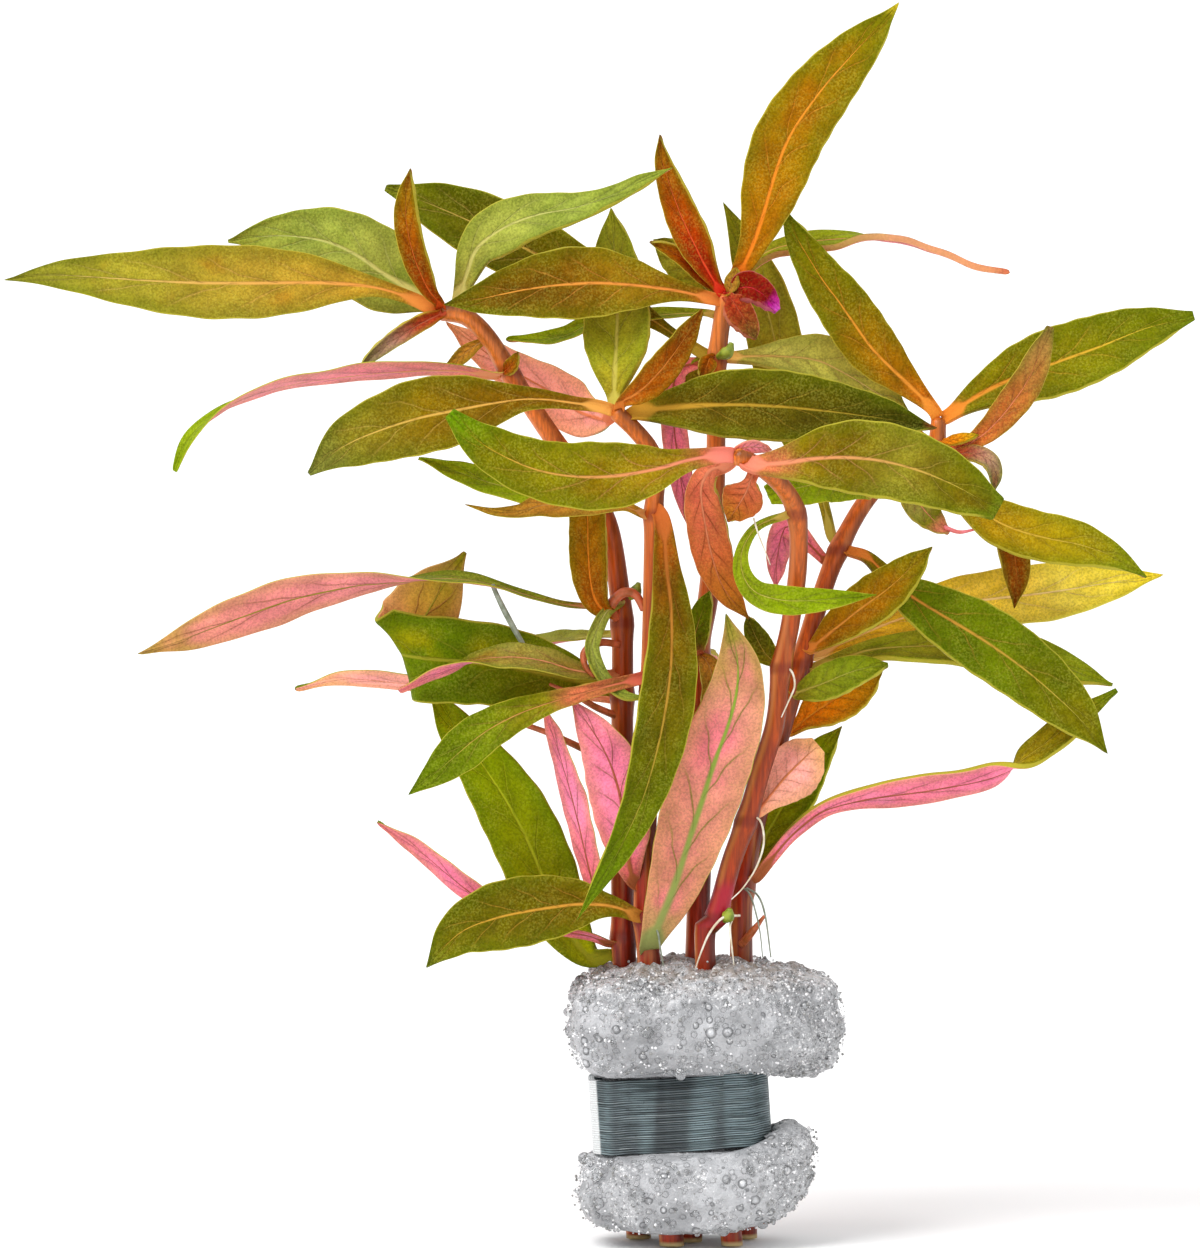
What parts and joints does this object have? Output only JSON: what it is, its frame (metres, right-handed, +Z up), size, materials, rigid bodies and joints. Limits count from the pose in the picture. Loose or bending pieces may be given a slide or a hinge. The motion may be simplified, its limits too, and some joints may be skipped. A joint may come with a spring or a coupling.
{
  "type": "aquarium plant bunch",
  "caption": "Bunch of red-stemmed aquarium plants with lance-shaped olive, red and pink leaves, held at the foot by a foam sleeve in a bent lead strip.",
  "frame": {"origin": "middle of the cut end of the bunch's middle stem (stem_tall), on the ground the cut ends stand on", "axes": "+Z up along the bunch, +X to the viewer's right, the bunch is seen from -Y"},
  "size_m": [0.1442, 0.0586, 0.1507],
  "materials": {
    "stem_left": "satin",
    "stem_middle": "satin",
    "stem_tall": "satin",
    "stem_front": "satin",
    "stem_right": "satin",
    "foam_sleeve": "matte",
    "weight_band": "satin",
    "leaf_far_left_1": "satin",
    "leaf_far_left_2": "satin",
    "leaf_far_left_3": "satin",
    "leaf_far_left_4": "satin",
    "leaf_far_left_5": "satin",
    "leaf_top_1": "satin",
    "leaf_top_2": "satin",
    "leaf_top_3": "satin",
    "leaf_top_4": "satin",
    "leaf_top_5": "satin",
    "leaf_top_6": "satin",
    "leaf_middle_1": "satin",
    "leaf_middle_2": "satin",
    "leaf_middle_3": "satin",
    "leaf_middle_4": "satin",
    "leaf_middle_5": "satin",
    "leaf_left_1": "satin",
    "leaf_left_2": "satin",
    "leaf_left_3": "satin",
    "leaf_left_4": "satin",
    "leaf_left_5": "satin",
    "leaf_left_6": "satin",
    "leaf_left_7": "satin",
    "leaf_left_8": "satin",
    "leaf_left_9": "satin",
    "leaf_left_10": "satin",
    "leaf_left_11": "satin",
    "leaf_front_1": "satin",
    "leaf_front_2": "satin",
    "leaf_front_3": "satin",
    "leaf_front_4": "satin",
    "leaf_front_5": "satin",
    "leaf_low_1": "satin",
    "leaf_low_2": "satin",
    "leaf_low_3": "satin",
    "leaf_low_4": "satin",
    "leaf_right_1": "satin",
    "leaf_right_2": "satin",
    "leaf_right_3": "satin",
    "leaf_right_4": "satin",
    "leaf_right_5": "satin",
    "leaf_right_6": "satin",
    "leaf_right_7": "satin",
    "leaf_right_8": "satin",
    "leaf_right_9": "satin",
    "leaf_right_10": "satin",
    "leaf_right_11": "satin",
    "leaf_right_12": "satin",
    "leaf_right_13": "satin",
    "leaf_back_1": "satin",
    "leaf_back_2": "satin",
    "leaf_back_3": "satin",
    "leaf_back_4": "satin"
  },
  "bodies": {
    "root": {"stem_left": "stem_left", "stem_middle": "stem_middle", "stem_tall": "stem_tall", "stem_front": "stem_front", "stem_right": "stem_right", "foam_sleeve": "foam_sleeve", "weight_band": "weight_band", "leaf_far_left_1": "leaf_far_left_1", "leaf_far_left_2": "leaf_far_left_2", "leaf_far_left_3": "leaf_far_left_3", "leaf_far_left_4": "leaf_far_left_4", "leaf_far_left_5": "leaf_far_left_5", "leaf_top_1": "leaf_top_1", "leaf_top_2": "leaf_top_2", "leaf_top_3": "leaf_top_3", "leaf_top_4": "leaf_top_4", "leaf_top_5": "leaf_top_5", "leaf_top_6": "leaf_top_6", "leaf_middle_1": "leaf_middle_1", "leaf_middle_2": "leaf_middle_2", "leaf_middle_3": "leaf_middle_3", "leaf_middle_4": "leaf_middle_4", "leaf_middle_5": "leaf_middle_5", "leaf_left_1": "leaf_left_1", "leaf_left_2": "leaf_left_2", "leaf_left_3": "leaf_left_3", "leaf_left_4": "leaf_left_4", "leaf_left_5": "leaf_left_5", "leaf_left_6": "leaf_left_6", "leaf_left_7": "leaf_left_7", "leaf_left_8": "leaf_left_8", "leaf_left_9": "leaf_left_9", "leaf_left_10": "leaf_left_10", "leaf_left_11": "leaf_left_11", "leaf_front_1": "leaf_front_1", "leaf_front_2": "leaf_front_2", "leaf_front_3": "leaf_front_3", "leaf_front_4": "leaf_front_4", "leaf_front_5": "leaf_front_5", "leaf_low_1": "leaf_low_1", "leaf_low_2": "leaf_low_2", "leaf_low_3": "leaf_low_3", "leaf_low_4": "leaf_low_4", "leaf_right_1": "leaf_right_1", "leaf_right_2": "leaf_right_2", "leaf_right_3": "leaf_right_3", "leaf_right_4": "leaf_right_4", "leaf_right_5": "leaf_right_5", "leaf_right_6": "leaf_right_6", "leaf_right_7": "leaf_right_7", "leaf_right_8": "leaf_right_8", "leaf_right_9": "leaf_right_9", "leaf_right_10": "leaf_right_10", "leaf_right_11": "leaf_right_11", "leaf_right_12": "leaf_right_12", "leaf_right_13": "leaf_right_13", "leaf_back_1": "leaf_back_1", "leaf_back_2": "leaf_back_2", "leaf_back_3": "leaf_back_3", "leaf_back_4": "leaf_back_4"}
  },
  "joints": []
}
